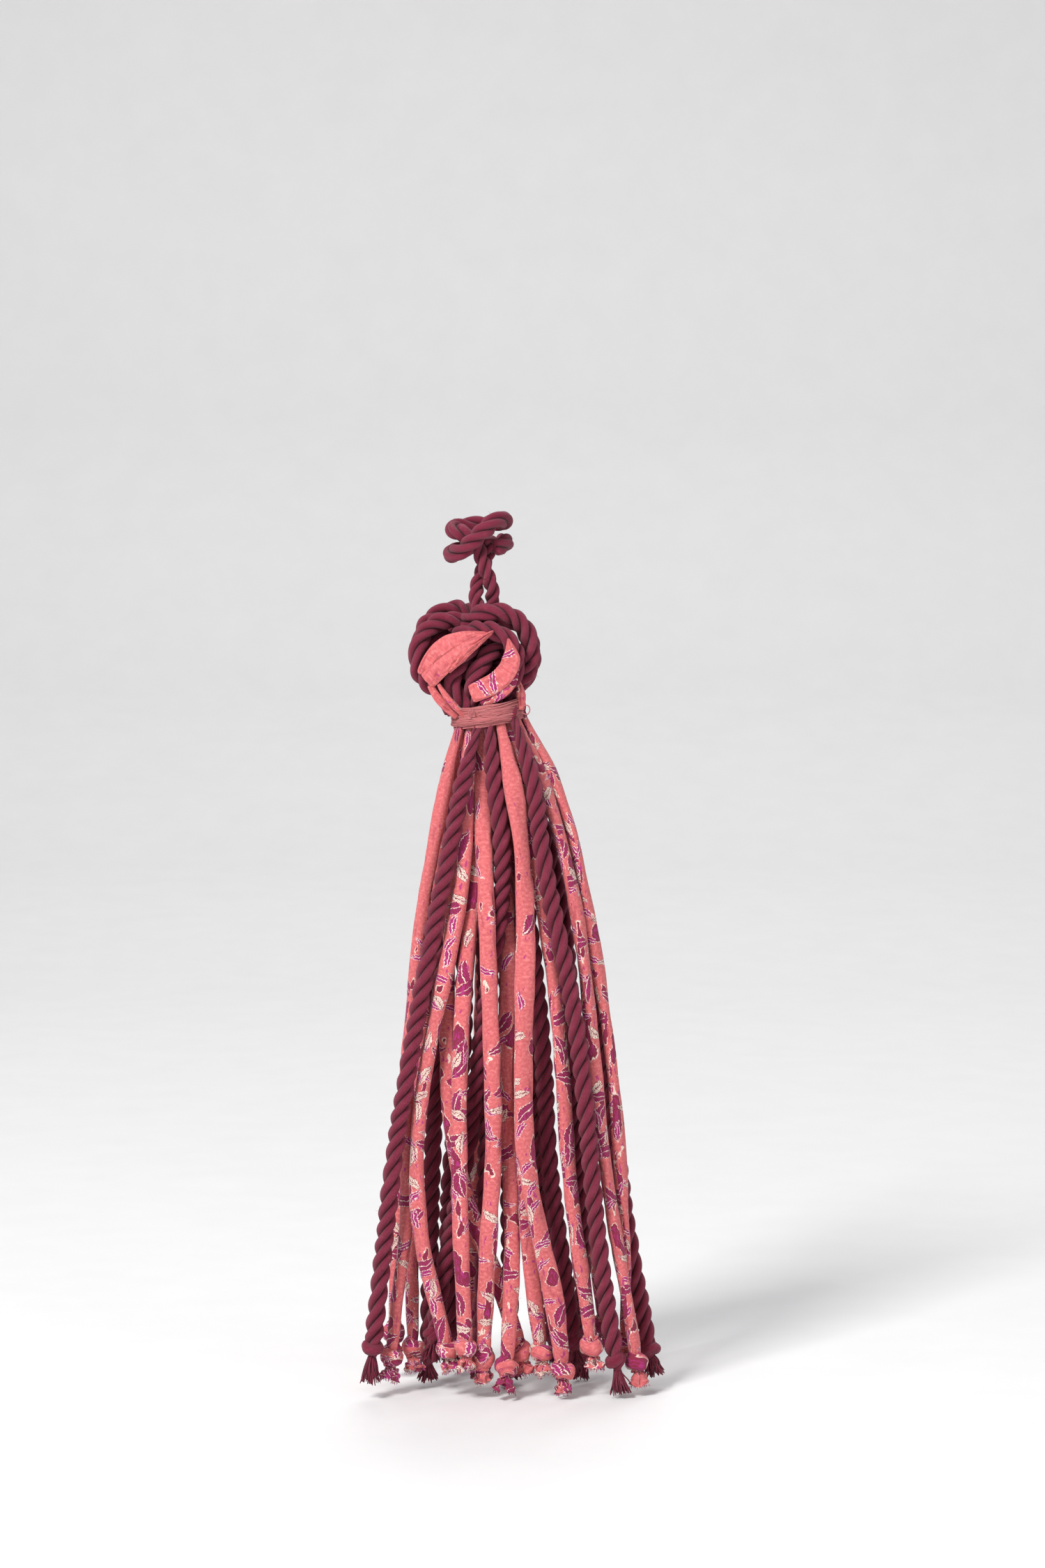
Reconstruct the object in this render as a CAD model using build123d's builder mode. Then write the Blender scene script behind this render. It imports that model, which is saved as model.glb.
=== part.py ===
"""Tassel bag charm: a soft rope hitch for a bag strap, a twin-rope neck, a knotted head of rope and
cotton strips, a thread binding, and a skirt of knotted rope and rolled-fabric strands.

Millimetres, +Z up, the front of the charm faces -Y. The origin is the centre of the strap eye."""

from build123d import *
import math
import os

# Driving dimensions
ROPE = 5.8                # three-ply cotton rope, mean round over its plies
FABRIC = 4.8              # rolled and stitched cotton tube
HITCH_ROPE = 5.6          # rope pulled tight round the strap
NECK_ROPE = 4.4           # rope stretched between hitch and head
STRAND_TOP = 3.6          # a strand squeezed where it leaves the binding
TAPER = 14.0              # length over which a squeezed strand swells to its full round
STRIP_THICKNESS = 1.6     # folded cotton strip
ROPE_KNOT = 7.0           # overhand knot at the end of a rope strand
FABRIC_KNOT = 7.6         # overhand knot at the end of a fabric strand
FRAY_WIDTH = 5.6          # splayed yarn below a rope knot
RAW_END_WIDTH = 4.6       # ragged cloth below a fabric knot
RAW_END_LENGTH = 4.0

BINDING_CENTRE = (2.8, -6.3)
BINDING_WIDTH = 24.4
BINDING_DEPTH = 25.0
BINDING_HEIGHT = 7.0
BINDING_WALL = 1.2
BINDING_MIDDLE = -57.1    # height of the binding's centre
BINDING_RISE = 0.16       # the binding climbs this much per millimetre to the right
BUNDLE_PROUD = 0.4        # squeezed bundle showing above the binding
PLAY = 0.3                # free gap between pieces that move against each other

NECK_LEGS = (-0.6, 4.0)   # x of the two neck ropes
NECK_DEPTH = -6.5
NECK_TOP = -7.8
NECK_FOOT = -16.6

ARC_SHARE = 0.45          # share of the shorter run that a corner's arc may use

HITCH_ROUTE = [
    (-0.8, -6.8, -0.2), (-5.8, -6.6, 2.4), (-9.0, -1.8, 3.2), (-7.2, 5.4, 3.8), (-0.6, 7.4, 4.6),
    (6.4, 6.4, 5.4), (8.4, 0.4, 6.0), (8.0, -5.6, 6.8), (5.0, -10.8, 6.4), (0.2, -13.2, 2.0),
    (-4.8, -12.4, -2.8), (-8.8, -7.6, -4.8), (-9.4, -0.8, -4.8), (-6.8, 5.6, -3.8), (-0.2, 7.5, -2.6),
    (6.6, 6.4, -1.4), (8.8, 0.2, -0.8), (8.2, -5.4, -1.8), (5.0, -7.8, -2.6),
]

# Ropes of the head, in front of the core
HEAD_ROPES = {
    "head_rope_outer": [
        (-2.0, -9.0, -25.0), (3.0, -12.4, -22.8), (9.6, -12.6, -23.6), (15.0, -11.0, -28.0),
        (17.4, -9.4, -34.8), (16.8, -8.2, -42.0), (13.6, -6.6, -47.4), (9.0, -5.6, -49.6)],
    "head_rope_inner": [
        (-3.4, -12.6, -29.6), (2.4, -14.6, -28.6), (8.0, -14.8, -30.6), (11.8, -14.6, -35.0),
        (12.6, -13.2, -41.0), (10.4, -11.4, -46.6), (6.0, -10.4, -50.4)],
    "head_rope_side": [
        (-5.2, -5.8, -27.2), (-10.6, -8.2, -25.8), (-16.4, -9.2, -28.2), (-20.2, -9.2, -34.2),
        (-20.6, -9.2, -41.0), (-17.8, -9.6, -46.6), (-13.2, -10.2, -49.6)],
    "head_rope_centre_upper": [
        (0.6, -7.6, -31.8), (-3.4, -11.8, -35.6), (-7.0, -12.6, -40.8), (-9.4, -12.0, -46.0),
        (-7.0, -11.4, -50.8)],
    "head_rope_centre_lower": [
        (6.6, -8.4, -33.6), (3.6, -12.2, -37.2), (-0.4, -13.4, -42.2), (-2.8, -13.1, -46.8),
        (-0.8, -11.2, -51.2)],
}
REAR_CENTRE = (-1.4, -4.5)   # the rear ropes repeat the front ones, half a turn round this upright
ROPE_HEAD = 5.4              # rope squeezed in the head's knot

# Folded strips over the front of the head: route, width
FABRIC_STRIPS = {
    "head_strip_upper": (
        [(-1.0, -18.6, -34.4), (-6.4, -18.2, -35.0), (-12.6, -16.8, -39.0), (-17.4, -14.0, -45.6)], 7.0),
    "head_strip_lower": (
        [(9.6, -18.8, -36.0), (8.8, -18.6, -41.0), (5.4, -18.0, -45.8), (-0.4, -17.0, -49.4)], 6.6),
    "head_strip_tail": (
        [(-15.8, -14.8, -50.2), (-13.2, -15.4, -53.6), (-10.2, -15.8, -56.8)], 3.6),
}
CORE_CENTRE = (-1.4, -4.5, -41.5)
CORE_SIZE = (17.0, 6.6, 13.0)

# Skirt strands. Each starts in the binding and passes these heights at the (x, y) given for it,
# then ends in a knot: (x, y, z) of the knot's centre. A rope's row ends with its length of loose yarn.
STRAND_HEIGHTS = (-80, -98, -120, -146, -174, -202, -229, -251)
ROPE_STRANDS = [
    ([(-1, -17), (-5.5, -23), (-9, -22.5), (-13.5, -23), (-18.5, -24.5), (-23.5, -26.5), (-28, -27.5),
      (-31, -28), (-33.5, -28)], (-35, -28.5, -264.5), 9.0),
    ([(3.5, -16.5), (5, -20), (8, -20.5), (7.5, -21), (3, -20.5), (-0.5, -19.5), (-4, -17),
      (-9.5, -17), (-13.5, -18.5)], (-15, -19.5, -262), 6.0),
    ([(12.5, -15), (18.5, -20.5), (20, -23), (24, -24), (30, -25.5), (34, -27), (36.5, -27.5),
      (39, -27), (42, -26.5)], (45, -26.5, -269), 8.5),
    ([(11, -7.5), (14, -10.5), (13.5, -13), (15.5, -16.5), (19, -19), (21.5, -18), (22.5, -18),
      (26, -18), (29.5, -18.5)], (31, -18.5, -264.5), 6.0),
    ([(14.5, -3), (22.5, -4), (27.5, -6), (32.5, -7), (37.5, -7), (42, -8), (45.5, -9),
      (49, -10), (53, -11)], (56.5, -11.5, -268.5), 6.0),
    ([(-5, -5.5), (-6.5, -6), (-9, -8), (-11, -9.5), (-12.5, -10), (-14.5, -10), (-15.5, -11),
      (-16.5, -11), (-16.5, -10.5)], (-17, -9.5, -271.5), 5.0),
    ([(1, -5.5), (1.5, -6), (1, -9), (1.5, -11.5), (2, -12), (2.5, -13), (2.5, -15), (1.5, -16),
      (1, -17)], (0.5, -17.5, -267), 7.0),
    ([(6, -2), (6.5, -0.5), (7.5, -2.5), (8.5, -3.5), (9.5, -3.5), (9, -3), (9.5, -3.5),
      (10, -4.5), (10, -4)], (10.5, -4.5, -272), 5.0),
    ([(10.5, -3.5), (15.5, -1.5), (22, 0), (27, 1), (30, 2), (31, 2), (32, 1.5),
      (34, 1), (34.5, 0)], (34, -0.5, -273), 5.0),
    ([(0.5, -1.5), (-1, 2.5), (-3.5, 2), (-5, 0.5), (-5, 0), (-5.5, 1), (-9, 2), (-11, 3),
      (-10, 4)], (-9.5, 5, -266), 8.0),
    ([(6.5, 4), (9, 8), (10.5, 9.5), (12.5, 11.5), (15, 14.5), (17.5, 16.5), (20, 17),
      (22, 18), (23.5, 18)], (24.5, 18.5, -270), 7.0),
]
FABRIC_STRANDS = [
    ([(-7, -13.5), (-11, -15.5), (-14.5, -15), (-18.5, -16), (-21.5, -17.5), (-24, -19),
      (-23.5, -20), (-24, -20.5), (-27.5, -21)], (-29, -21.5, -269)),
    ([(1.5, -12.5), (1, -15.5), (1.5, -19.5), (2.5, -25), (3.5, -27.5), (4.5, -28.5), (5, -28.5),
      (3, -29), (2, -28)], (1.5, -27.5, -268.5)),
    ([(7.5, -15.5), (11.5, -21.5), (14, -23), (15.5, -26), (15, -29), (14.5, -31), (15, -31.5),
      (20.5, -31.5), (25.5, -29.5)], (27.5, -28.5, -272)),
    ([(-3, -13), (-4, -16.5), (-4.5, -19), (-6.5, -22), (-12, -23.5), (-18, -24.5), (-21, -25),
      (-19.5, -26), (-14, -26)], (-10.5, -26, -265.5)),
    ([(-5.5, -9.5), (-7, -12), (-7.5, -14), (-9, -15.5), (-10.5, -17), (-10.5, -19), (-8.5, -23),
      (0, -23), (9, -22.5)], (13.5, -22.5, -267)),
    ([(-1, -9), (-1.5, -11), (-1, -14.5), (-2, -18.5), (-5, -23), (-6.5, -26.5), (-6.5, -28),
      (-6, -29), (-5, -30)], (-4.5, -31, -264)),
    ([(4, -9.5), (6, -11), (7.5, -13), (9, -14.5), (9.5, -18), (8.5, -20.5), (10, -22),
      (11, -23.5), (10.5, -28)], (9, -29.5, -271)),
    ([(7, -6), (9.5, -6), (12.5, -7), (14.5, -10.5), (14.5, -14.5), (14, -20.5), (14.5, -25.5),
      (16, -26.5), (18.5, -26)], (20.5, -26.5, -266.5)),
    ([(9.5, -11.5), (13, -16.5), (17.5, -17.5), (21, -19), (25, -22), (27.5, -24.5), (29, -25),
      (32, -26), (35.5, -26)], (37, -26.5, -264.5)),
    ([(13.5, -10.5), (21.5, -14), (27, -16.5), (32, -18.5), (35.5, -20), (38, -21.5), (41, -22),
      (45, -22), (49, -22.5)], (52, -22.5, -270.5)),
    ([(16, -7), (25.5, -10), (31, -12), (35.5, -13.5), (40, -14.5), (44, -15.5), (46.5, -16),
      (48, -16), (48.5, -16.5)], (48.5, -16.5, -264)),
    ([(-7.5, -2), (-11.5, -3), (-13, -4), (-15, -4.5), (-17, -4), (-19.5, -4.5), (-21.5, -7),
      (-22.5, -9.5), (-22.5, -12)], (-22, -14.5, -267.5)),
    ([(-3.5, 0), (-7, 0.5), (-9, 0), (-12.5, 0.5), (-16.5, 1), (-21, 1.5), (-24.5, 2), (-27, 2),
      (-28.5, 2.5)], (-29, 2.5, -266)),
    ([(3, 2), (3, 7), (2.5, 9), (2, 11.5), (1, 13.5), (0.5, 15.5), (0, 16), (-1.5, 17),
      (-2.5, 17)], (-3.5, 17.5, -268)),
    ([(9.5, 1), (13.5, 4), (17.5, 6), (22, 7), (27, 9), (31.5, 10.5), (35, 11), (38, 12),
      (40, 12)], (41.5, 12.5, -265)),
]


def corner_radii(points):
    """The largest arc that each corner of a route leaves room for."""
    radii = []
    for before, corner, after in zip(points, points[1:], points[2:]):
        arriving = Vector(*corner) - Vector(*before)
        leaving = Vector(*after) - Vector(*corner)
        turn = math.radians(arriving.get_angle(leaving))
        radii.append(ARC_SHARE * min(arriving.length, leaving.length) / math.tan(turn / 2))
    return radii


def rope_tube(points, diameter):
    """A round tube along straight runs joined by tangent arcs."""
    with BuildPart() as tube:
        with BuildLine() as route:
            FilletPolyline(*points, radius=corner_radii(points))
        with BuildSketch(Plane(origin=route.line @ 0, z_dir=route.line % 0)):
            Circle(diameter / 2)
        sweep()
    section = math.pi * diameter**2 / 4
    length = sum(edge.length for edge in route.edges())
    drift = tube.part.volume / (section * length) - 1
    print(f"  length {length:.1f}, least radius {min(corner_radii(points)):.1f}, "
          f"volume off by {100 * drift:.2f}%")
    return tube.part


def folded_strip(points, width):
    """A flat folded band whose broad face looks forward."""
    with BuildPart() as band:
        with BuildLine() as route:
            FilletPolyline(*points, radius=corner_radii(points))
        start = Plane(origin=route.line @ 0, x_dir=(0, 1, 0), z_dir=route.line % 0)
        with BuildSketch(start):
            Rectangle(STRIP_THICKNESS, width)
            fillet(vertices(), STRIP_THICKNESS * 0.4)
        sweep()
    return band.part


def binding_level(x, above):
    """Height of the binding's slanted mid-plane at x, plus an offset."""
    return BINDING_MIDDLE + BINDING_RISE * (x - BINDING_CENTRE[0]) + above


def strand(waypoints, knot, diameter, knot_diameter, end_width, end_length):
    """A skirt strand: squeezed top, full round body, end knot and the loose end under it."""
    top_x, top_y = waypoints[0]
    drop = BINDING_HEIGHT / 2 + PLAY + STRAND_TOP / 2 + 0.1
    top = Vector(top_x, top_y, binding_level(top_x, -drop))
    points = [Vector(x, y, z) for (x, y), z in zip(waypoints[1:], STRAND_HEIGHTS)]
    aim = (points[0] - top).normalized()
    swollen = top + aim * TAPER
    points = [swollen, *points, Vector(*knot)]
    last = (points[-1] - points[-2]).normalized()
    with BuildPart() as piece:
        add(rope_tube([tuple(p) for p in points], diameter))
        with Locations(Plane(origin=top, z_dir=aim)):
            Cone(STRAND_TOP / 2, diameter / 2, TAPER, align=(Align.CENTER, Align.CENTER, Align.MIN))
        with Locations(top):
            Sphere(STRAND_TOP / 2)
        with Locations(Vector(*knot)):
            Sphere(knot_diameter / 2)
        with Locations(Plane(origin=Vector(*knot), z_dir=last)):
            Cone(end_width * 0.36, end_width / 2, knot_diameter / 2 + end_length,
                 align=(Align.CENTER, Align.CENTER, Align.MIN))
    return piece.part


def save(part, name):
    part.label = name
    export_step(part, f"parts/{name}.step")
    print(f"{name}: {part.volume:.0f} mm3, {len(part.solids())} solid")


os.makedirs("parts", exist_ok=True)

# Hitch: one rope making two turns round the pinched strap, with its bight lying over them
save(rope_tube(HITCH_ROUTE, HITCH_ROPE), "strap_hitch")

# Neck: two ropes hanging from under the bight, rounded where they bend
for side, leg_x in zip(("left", "right"), NECK_LEGS):
    with BuildPart() as leg:
        with BuildSketch(Plane.XY.offset(NECK_FOOT)):
            with Locations((leg_x, NECK_DEPTH)):
                Circle(NECK_ROPE / 2)
        extrude(amount=NECK_TOP - NECK_FOOT)
        with Locations((leg_x, NECK_DEPTH, NECK_TOP), (leg_x, NECK_DEPTH, NECK_FOOT)):
            Sphere(NECK_ROPE / 2)
    save(leg.part, f"neck_rope_{side}")

# Head: the front ropes, and the same ropes half a turn round for the rear
for name, route in HEAD_ROPES.items():
    save(rope_tube(route, ROPE_HEAD), name)
    turned = [(2 * REAR_CENTRE[0] - x, 2 * REAR_CENTRE[1] - y, z) for x, y, z in route]
    save(rope_tube(turned, ROPE_HEAD), name.replace("head_", "rear_"))

for name, (route, width) in FABRIC_STRIPS.items():
    save(folded_strip(route, width), name)

with BuildPart() as core:
    with BuildSketch(Plane.XZ.offset(-CORE_CENTRE[1])):
        with Locations((CORE_CENTRE[0], CORE_CENTRE[2])):
            Ellipse(CORE_SIZE[0] / 2, CORE_SIZE[2] / 2)
    extrude(amount=CORE_SIZE[1] / 2, both=True)
    fillet(edges(), CORE_SIZE[1] * 0.42)
save(core.part, "head_core")

# Binding: many turns of thread round the squeezed bundle
slant = Plane(
    origin=(BINDING_CENTRE[0], BINDING_CENTRE[1], BINDING_MIDDLE),
    x_dir=(1, 0, BINDING_RISE), z_dir=(-BINDING_RISE, 0, 1))
with BuildPart() as bundle:
    with BuildSketch(slant.offset(-BINDING_HEIGHT / 2)):
        Ellipse(BINDING_WIDTH / 2 - BINDING_WALL, BINDING_DEPTH / 2 - BINDING_WALL)
    extrude(amount=BINDING_HEIGHT + BUNDLE_PROUD)
    fillet(edges().sort_by(Axis.Z)[-1], BUNDLE_PROUD * 0.6)
save(bundle.part, "bound_bundle")

with BuildPart() as binding:
    with BuildSketch(slant.offset(-BINDING_HEIGHT / 2)):
        Ellipse(BINDING_WIDTH / 2, BINDING_DEPTH / 2)
        Ellipse(BINDING_WIDTH / 2 - BINDING_WALL, BINDING_DEPTH / 2 - BINDING_WALL, mode=Mode.SUBTRACT)
    extrude(amount=BINDING_HEIGHT)
    fillet(faces().sort_by(Axis.Z)[-1].outer_wire().edges(), BINDING_WALL * 0.6)
save(binding.part, "thread_binding")

# Skirt
for number, (waypoints, knot, loose) in enumerate(ROPE_STRANDS, 1):
    part = strand(waypoints, knot, ROPE, ROPE_KNOT, FRAY_WIDTH, loose)
    save(part, f"rope_strand_{number:02d}")
for number, (waypoints, knot) in enumerate(FABRIC_STRANDS, 1):
    part = strand(waypoints, knot, FABRIC, FABRIC_KNOT, RAW_END_WIDTH, RAW_END_LENGTH)
    save(part, f"fabric_strand_{number:02d}")
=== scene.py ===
import math
import bpy
import numpy as np
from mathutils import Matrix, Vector


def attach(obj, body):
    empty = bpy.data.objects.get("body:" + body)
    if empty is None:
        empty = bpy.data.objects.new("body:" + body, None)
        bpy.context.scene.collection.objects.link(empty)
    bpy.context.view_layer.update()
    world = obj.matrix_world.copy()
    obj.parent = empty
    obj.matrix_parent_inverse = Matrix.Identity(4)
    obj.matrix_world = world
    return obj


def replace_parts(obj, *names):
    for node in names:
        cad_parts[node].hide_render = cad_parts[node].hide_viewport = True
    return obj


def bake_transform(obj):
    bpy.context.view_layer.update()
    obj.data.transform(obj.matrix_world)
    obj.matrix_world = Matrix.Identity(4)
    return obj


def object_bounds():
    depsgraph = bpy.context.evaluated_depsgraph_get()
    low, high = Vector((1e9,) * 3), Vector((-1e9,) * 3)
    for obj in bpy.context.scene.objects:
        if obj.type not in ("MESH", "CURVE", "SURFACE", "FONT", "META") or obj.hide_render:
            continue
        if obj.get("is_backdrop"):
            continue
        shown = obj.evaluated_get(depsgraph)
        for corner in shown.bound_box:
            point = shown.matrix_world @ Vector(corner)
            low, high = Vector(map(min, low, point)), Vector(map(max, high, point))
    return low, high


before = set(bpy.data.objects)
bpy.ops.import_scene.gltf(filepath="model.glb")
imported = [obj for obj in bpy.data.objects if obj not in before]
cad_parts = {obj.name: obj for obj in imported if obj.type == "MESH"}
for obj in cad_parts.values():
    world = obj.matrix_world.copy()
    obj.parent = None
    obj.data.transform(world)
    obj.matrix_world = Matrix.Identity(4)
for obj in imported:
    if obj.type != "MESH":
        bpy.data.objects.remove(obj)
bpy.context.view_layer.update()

# Tassel bag charm, in metres, +Z up, its front facing -Y. The routes are those of the CAD model.
HITCH_ROUTE = [
    (-.0008, -.0068, -.0002), (-.0058, -.0066, .0024), (-.009, -.0018, .0032), (-.0072, .0054, .0038),
    (-.0006, .0074, .0046), (.0064, .0064, .0054), (.0084, .0004, .006), (.008, -.0056, .0068),
    (.005, -.0108, .0064), (.0002, -.0132, .002), (-.0048, -.0124, -.0028), (-.0088, -.0076, -.0048),
    (-.0094, -.0008, -.0048), (-.0068, .0056, -.0038), (-.0002, .0075, -.0026), (.0066, .0064, -.0014),
    (.0088, .0002, -.0008), (.0082, -.0054, -.0018), (.005, -.0078, -.0026),
]
HEAD_ROPES = {
    "head_rope_outer": [
        (-.002, -.009, -.025), (.003, -.0124, -.0228), (.0096, -.0126, -.0236), (.015, -.011, -.028),
        (.0174, -.0094, -.0348), (.0168, -.0082, -.042), (.0136, -.0066, -.0474),
        (.009, -.0056, -.0496)],
    "head_rope_inner": [
        (-.0034, -.0126, -.0296), (.0024, -.0146, -.0286), (.008, -.0148, -.0306),
        (.0118, -.0146, -.035), (.0126, -.0132, -.041), (.0104, -.0114, -.0466),
        (.006, -.0104, -.0504)],
    "head_rope_side": [
        (-.0052, -.0058, -.0272), (-.0106, -.0082, -.0258), (-.0164, -.0092, -.0282),
        (-.0202, -.0092, -.0342), (-.0206, -.0092, -.041), (-.0178, -.0096, -.0466),
        (-.0132, -.0102, -.0496)],
    "head_rope_centre_upper": [
        (.0006, -.0076, -.0318), (-.0034, -.0118, -.0356), (-.007, -.0126, -.0408),
        (-.0094, -.012, -.046), (-.007, -.0114, -.0508)],
    "head_rope_centre_lower": [
        (.0066, -.0084, -.0336), (.0036, -.0122, -.0372), (-.0004, -.0134, -.0422),
        (-.0028, -.0131, -.0468), (-.0008, -.0112, -.0512)],
}
FABRIC_STRIPS = {
    "head_strip_upper": ([
        (-.001, -.0186, -.0344), (-.0064, -.0182, -.035), (-.0126, -.0168, -.039),
        (-.0174, -.014, -.0456)], .007),
    "head_strip_lower": ([
        (.0096, -.0188, -.036), (.0088, -.0186, -.041), (.0054, -.018, -.0458),
        (-.0004, -.017, -.0494)], .0066),
    "head_strip_tail": ([
        (-.0158, -.0148, -.0502), (-.0132, -.0154, -.0536), (-.0102, -.0158, -.0568)], .0036),
}
STRAND_HEIGHTS = (-.08, -.098, -.12, -.146, -.174, -.202, -.229, -.251)
ROPE_STRANDS = [
    ([(-.001, -.017), (-.0055, -.023), (-.009, -.0225), (-.0135, -.023), (-.0185, -.0245),
      (-.0235, -.0265), (-.028, -.0275), (-.031, -.028), (-.0335, -.028)],
      (-.035, -.0285, -.2645), .009),
    ([(.0035, -.0165), (.005, -.02), (.008, -.0205), (.0075, -.021), (.003, -.0205), (-.0005, -.0195),
      (-.004, -.017), (-.0095, -.017), (-.0135, -.0185)],
      (-.015, -.0195, -.262), .006),
    ([(.0125, -.015), (.0185, -.0205), (.02, -.023), (.024, -.024), (.03, -.0255), (.034, -.027),
      (.0365, -.0275), (.039, -.027), (.042, -.0265)],
      (.045, -.0265, -.269), .0085),
    ([(.011, -.0075), (.014, -.0105), (.0135, -.013), (.0155, -.0165), (.019, -.019), (.0215, -.018),
      (.0225, -.018), (.026, -.018), (.0295, -.0185)],
      (.031, -.0185, -.2645), .006),
    ([(.0145, -.003), (.0225, -.004), (.0275, -.006), (.0325, -.007), (.0375, -.007), (.042, -.008),
      (.0455, -.009), (.049, -.01), (.053, -.011)],
      (.0565, -.0115, -.2685), .006),
    ([(-.005, -.0055), (-.0065, -.006), (-.009, -.008), (-.011, -.0095), (-.0125, -.01),
      (-.0145, -.01), (-.0155, -.011), (-.0165, -.011), (-.0165, -.0105)],
      (-.017, -.0095, -.2715), .005),
    ([(.001, -.0055), (.0015, -.006), (.001, -.009), (.0015, -.0115), (.002, -.012), (.0025, -.013),
      (.0025, -.015), (.0015, -.016), (.001, -.017)],
      (.0005, -.0175, -.267), .007),
    ([(.006, -.002), (.0065, -.0005), (.0075, -.0025), (.0085, -.0035), (.0095, -.0035), (.009, -.003),
      (.0095, -.0035), (.01, -.0045), (.01, -.004)],
      (.0105, -.0045, -.272), .005),
    ([(.0105, -.0035), (.0155, -.0015), (.022, 0), (.027, .001), (.03, .002), (.031, .002),
      (.032, .0015), (.034, .001), (.0345, 0)],
      (.034, -.0005, -.273), .005),
    ([(.0005, -.0015), (-.001, .0025), (-.0035, .002), (-.005, .0005), (-.005, 0), (-.0055, .001),
      (-.009, .002), (-.011, .003), (-.01, .004)],
      (-.0095, .005, -.266), .008),
    ([(.0065, .004), (.009, .008), (.0105, .0095), (.0125, .0115), (.015, .0145), (.0175, .0165),
      (.02, .017), (.022, .018), (.0235, .018)],
      (.0245, .0185, -.27), .007),
]
FABRIC_STRANDS = [
    ([(-.007, -.0135), (-.011, -.0155), (-.0145, -.015), (-.0185, -.016), (-.0215, -.0175),
      (-.024, -.019), (-.0235, -.02), (-.024, -.0205), (-.0275, -.021)],
      (-.029, -.0215, -.269)),
    ([(.0015, -.0125), (.001, -.0155), (.0015, -.0195), (.0025, -.025), (.0035, -.0275),
      (.0045, -.0285), (.005, -.0285), (.003, -.029), (.002, -.028)],
      (.0015, -.0275, -.2685)),
    ([(.0075, -.0155), (.0115, -.0215), (.014, -.023), (.0155, -.026), (.015, -.029), (.0145, -.031),
      (.015, -.0315), (.0205, -.0315), (.0255, -.0295)],
      (.0275, -.0285, -.272)),
    ([(-.003, -.013), (-.004, -.0165), (-.0045, -.019), (-.0065, -.022), (-.012, -.0235),
      (-.018, -.0245), (-.021, -.025), (-.0195, -.026), (-.014, -.026)],
      (-.0105, -.026, -.2655)),
    ([(-.0055, -.0095), (-.007, -.012), (-.0075, -.014), (-.009, -.0155), (-.0105, -.017),
      (-.0105, -.019), (-.0085, -.023), (0, -.023), (.009, -.0225)],
      (.0135, -.0225, -.267)),
    ([(-.001, -.009), (-.0015, -.011), (-.001, -.0145), (-.002, -.0185), (-.005, -.023),
      (-.0065, -.0265), (-.0065, -.028), (-.006, -.029), (-.005, -.03)],
      (-.0045, -.031, -.264)),
    ([(.004, -.0095), (.006, -.011), (.0075, -.013), (.009, -.0145), (.0095, -.018), (.0085, -.0205),
      (.01, -.022), (.011, -.0235), (.0105, -.028)],
      (.009, -.0295, -.271)),
    ([(.007, -.006), (.0095, -.006), (.0125, -.007), (.0145, -.0105), (.0145, -.0145), (.014, -.0205),
      (.0145, -.0255), (.016, -.0265), (.0185, -.026)],
      (.0205, -.0265, -.2665)),
    ([(.0095, -.0115), (.013, -.0165), (.0175, -.0175), (.021, -.019), (.025, -.022), (.0275, -.0245),
      (.029, -.025), (.032, -.026), (.0355, -.026)],
      (.037, -.0265, -.2645)),
    ([(.0135, -.0105), (.0215, -.014), (.027, -.0165), (.032, -.0185), (.0355, -.02), (.038, -.0215),
      (.041, -.022), (.045, -.022), (.049, -.0225)],
      (.052, -.0225, -.2705)),
    ([(.016, -.007), (.0255, -.01), (.031, -.012), (.0355, -.0135), (.04, -.0145), (.044, -.0155),
      (.0465, -.016), (.048, -.016), (.0485, -.0165)],
      (.0485, -.0165, -.264)),
    ([(-.0075, -.002), (-.0115, -.003), (-.013, -.004), (-.015, -.0045), (-.017, -.004),
      (-.0195, -.0045), (-.0215, -.007), (-.0225, -.0095), (-.0225, -.012)],
      (-.022, -.0145, -.2675)),
    ([(-.0035, 0), (-.007, .0005), (-.009, 0), (-.0125, .0005), (-.0165, .001), (-.021, .0015),
      (-.0245, .002), (-.027, .002), (-.0285, .0025)],
      (-.029, .0025, -.266)),
    ([(.003, .002), (.003, .007), (.0025, .009), (.002, .0115), (.001, .0135), (.0005, .0155),
      (0, .016), (-.0015, .017), (-.0025, .017)],
      (-.0035, .0175, -.268)),
    ([(.0095, .001), (.0135, .004), (.0175, .006), (.022, .007), (.027, .009), (.0315, .0105),
      (.035, .011), (.038, .012), (.04, .012)],
      (.0415, .0125, -.265)),
]
REAR_CENTRE = (-.0014, -.0045)       # the rear ropes repeat the front ones, half a turn round here
NECK_LEGS = {"left": -.0006, "right": .004}
NECK_DEPTH = -.0065
HEAD_JOINT = -.0166                  # height at which the head sways under the neck
NECK_JOINT = -.0078                  # height at which the neck swings under the hitch

BINDING_CENTRE = (.0028, -.0063, -.0571)
BINDING_HALF = (.0122, .0125)        # half width, half depth
BINDING_HEIGHT = .007
BINDING_RISE = .16                   # climb for each metre to the right
TOP_DROP = .0057                     # a strand's top below the binding's middle
SKIRT_AXIS = (.0028, -.0045)         # the strands fan out from here

ROPE_RADIUS = .0031                  # over the plies
HEAD_ROPE_RADIUS = .0031
HITCH_RADIUS = .003
NECK_RADIUS = .0025
NECK_SPREAD = .0024                  # from the neck's middle to each rope
ROPE_PITCH = .0185                   # one turn of a ply
FREE = {"rope": (1, 3, 5, 11), "fabric": (1, 3, 10, 11, 12, 13, 14, 15)}
MM = .001


# ---------------------------------------------------------------- lines and sections

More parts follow.
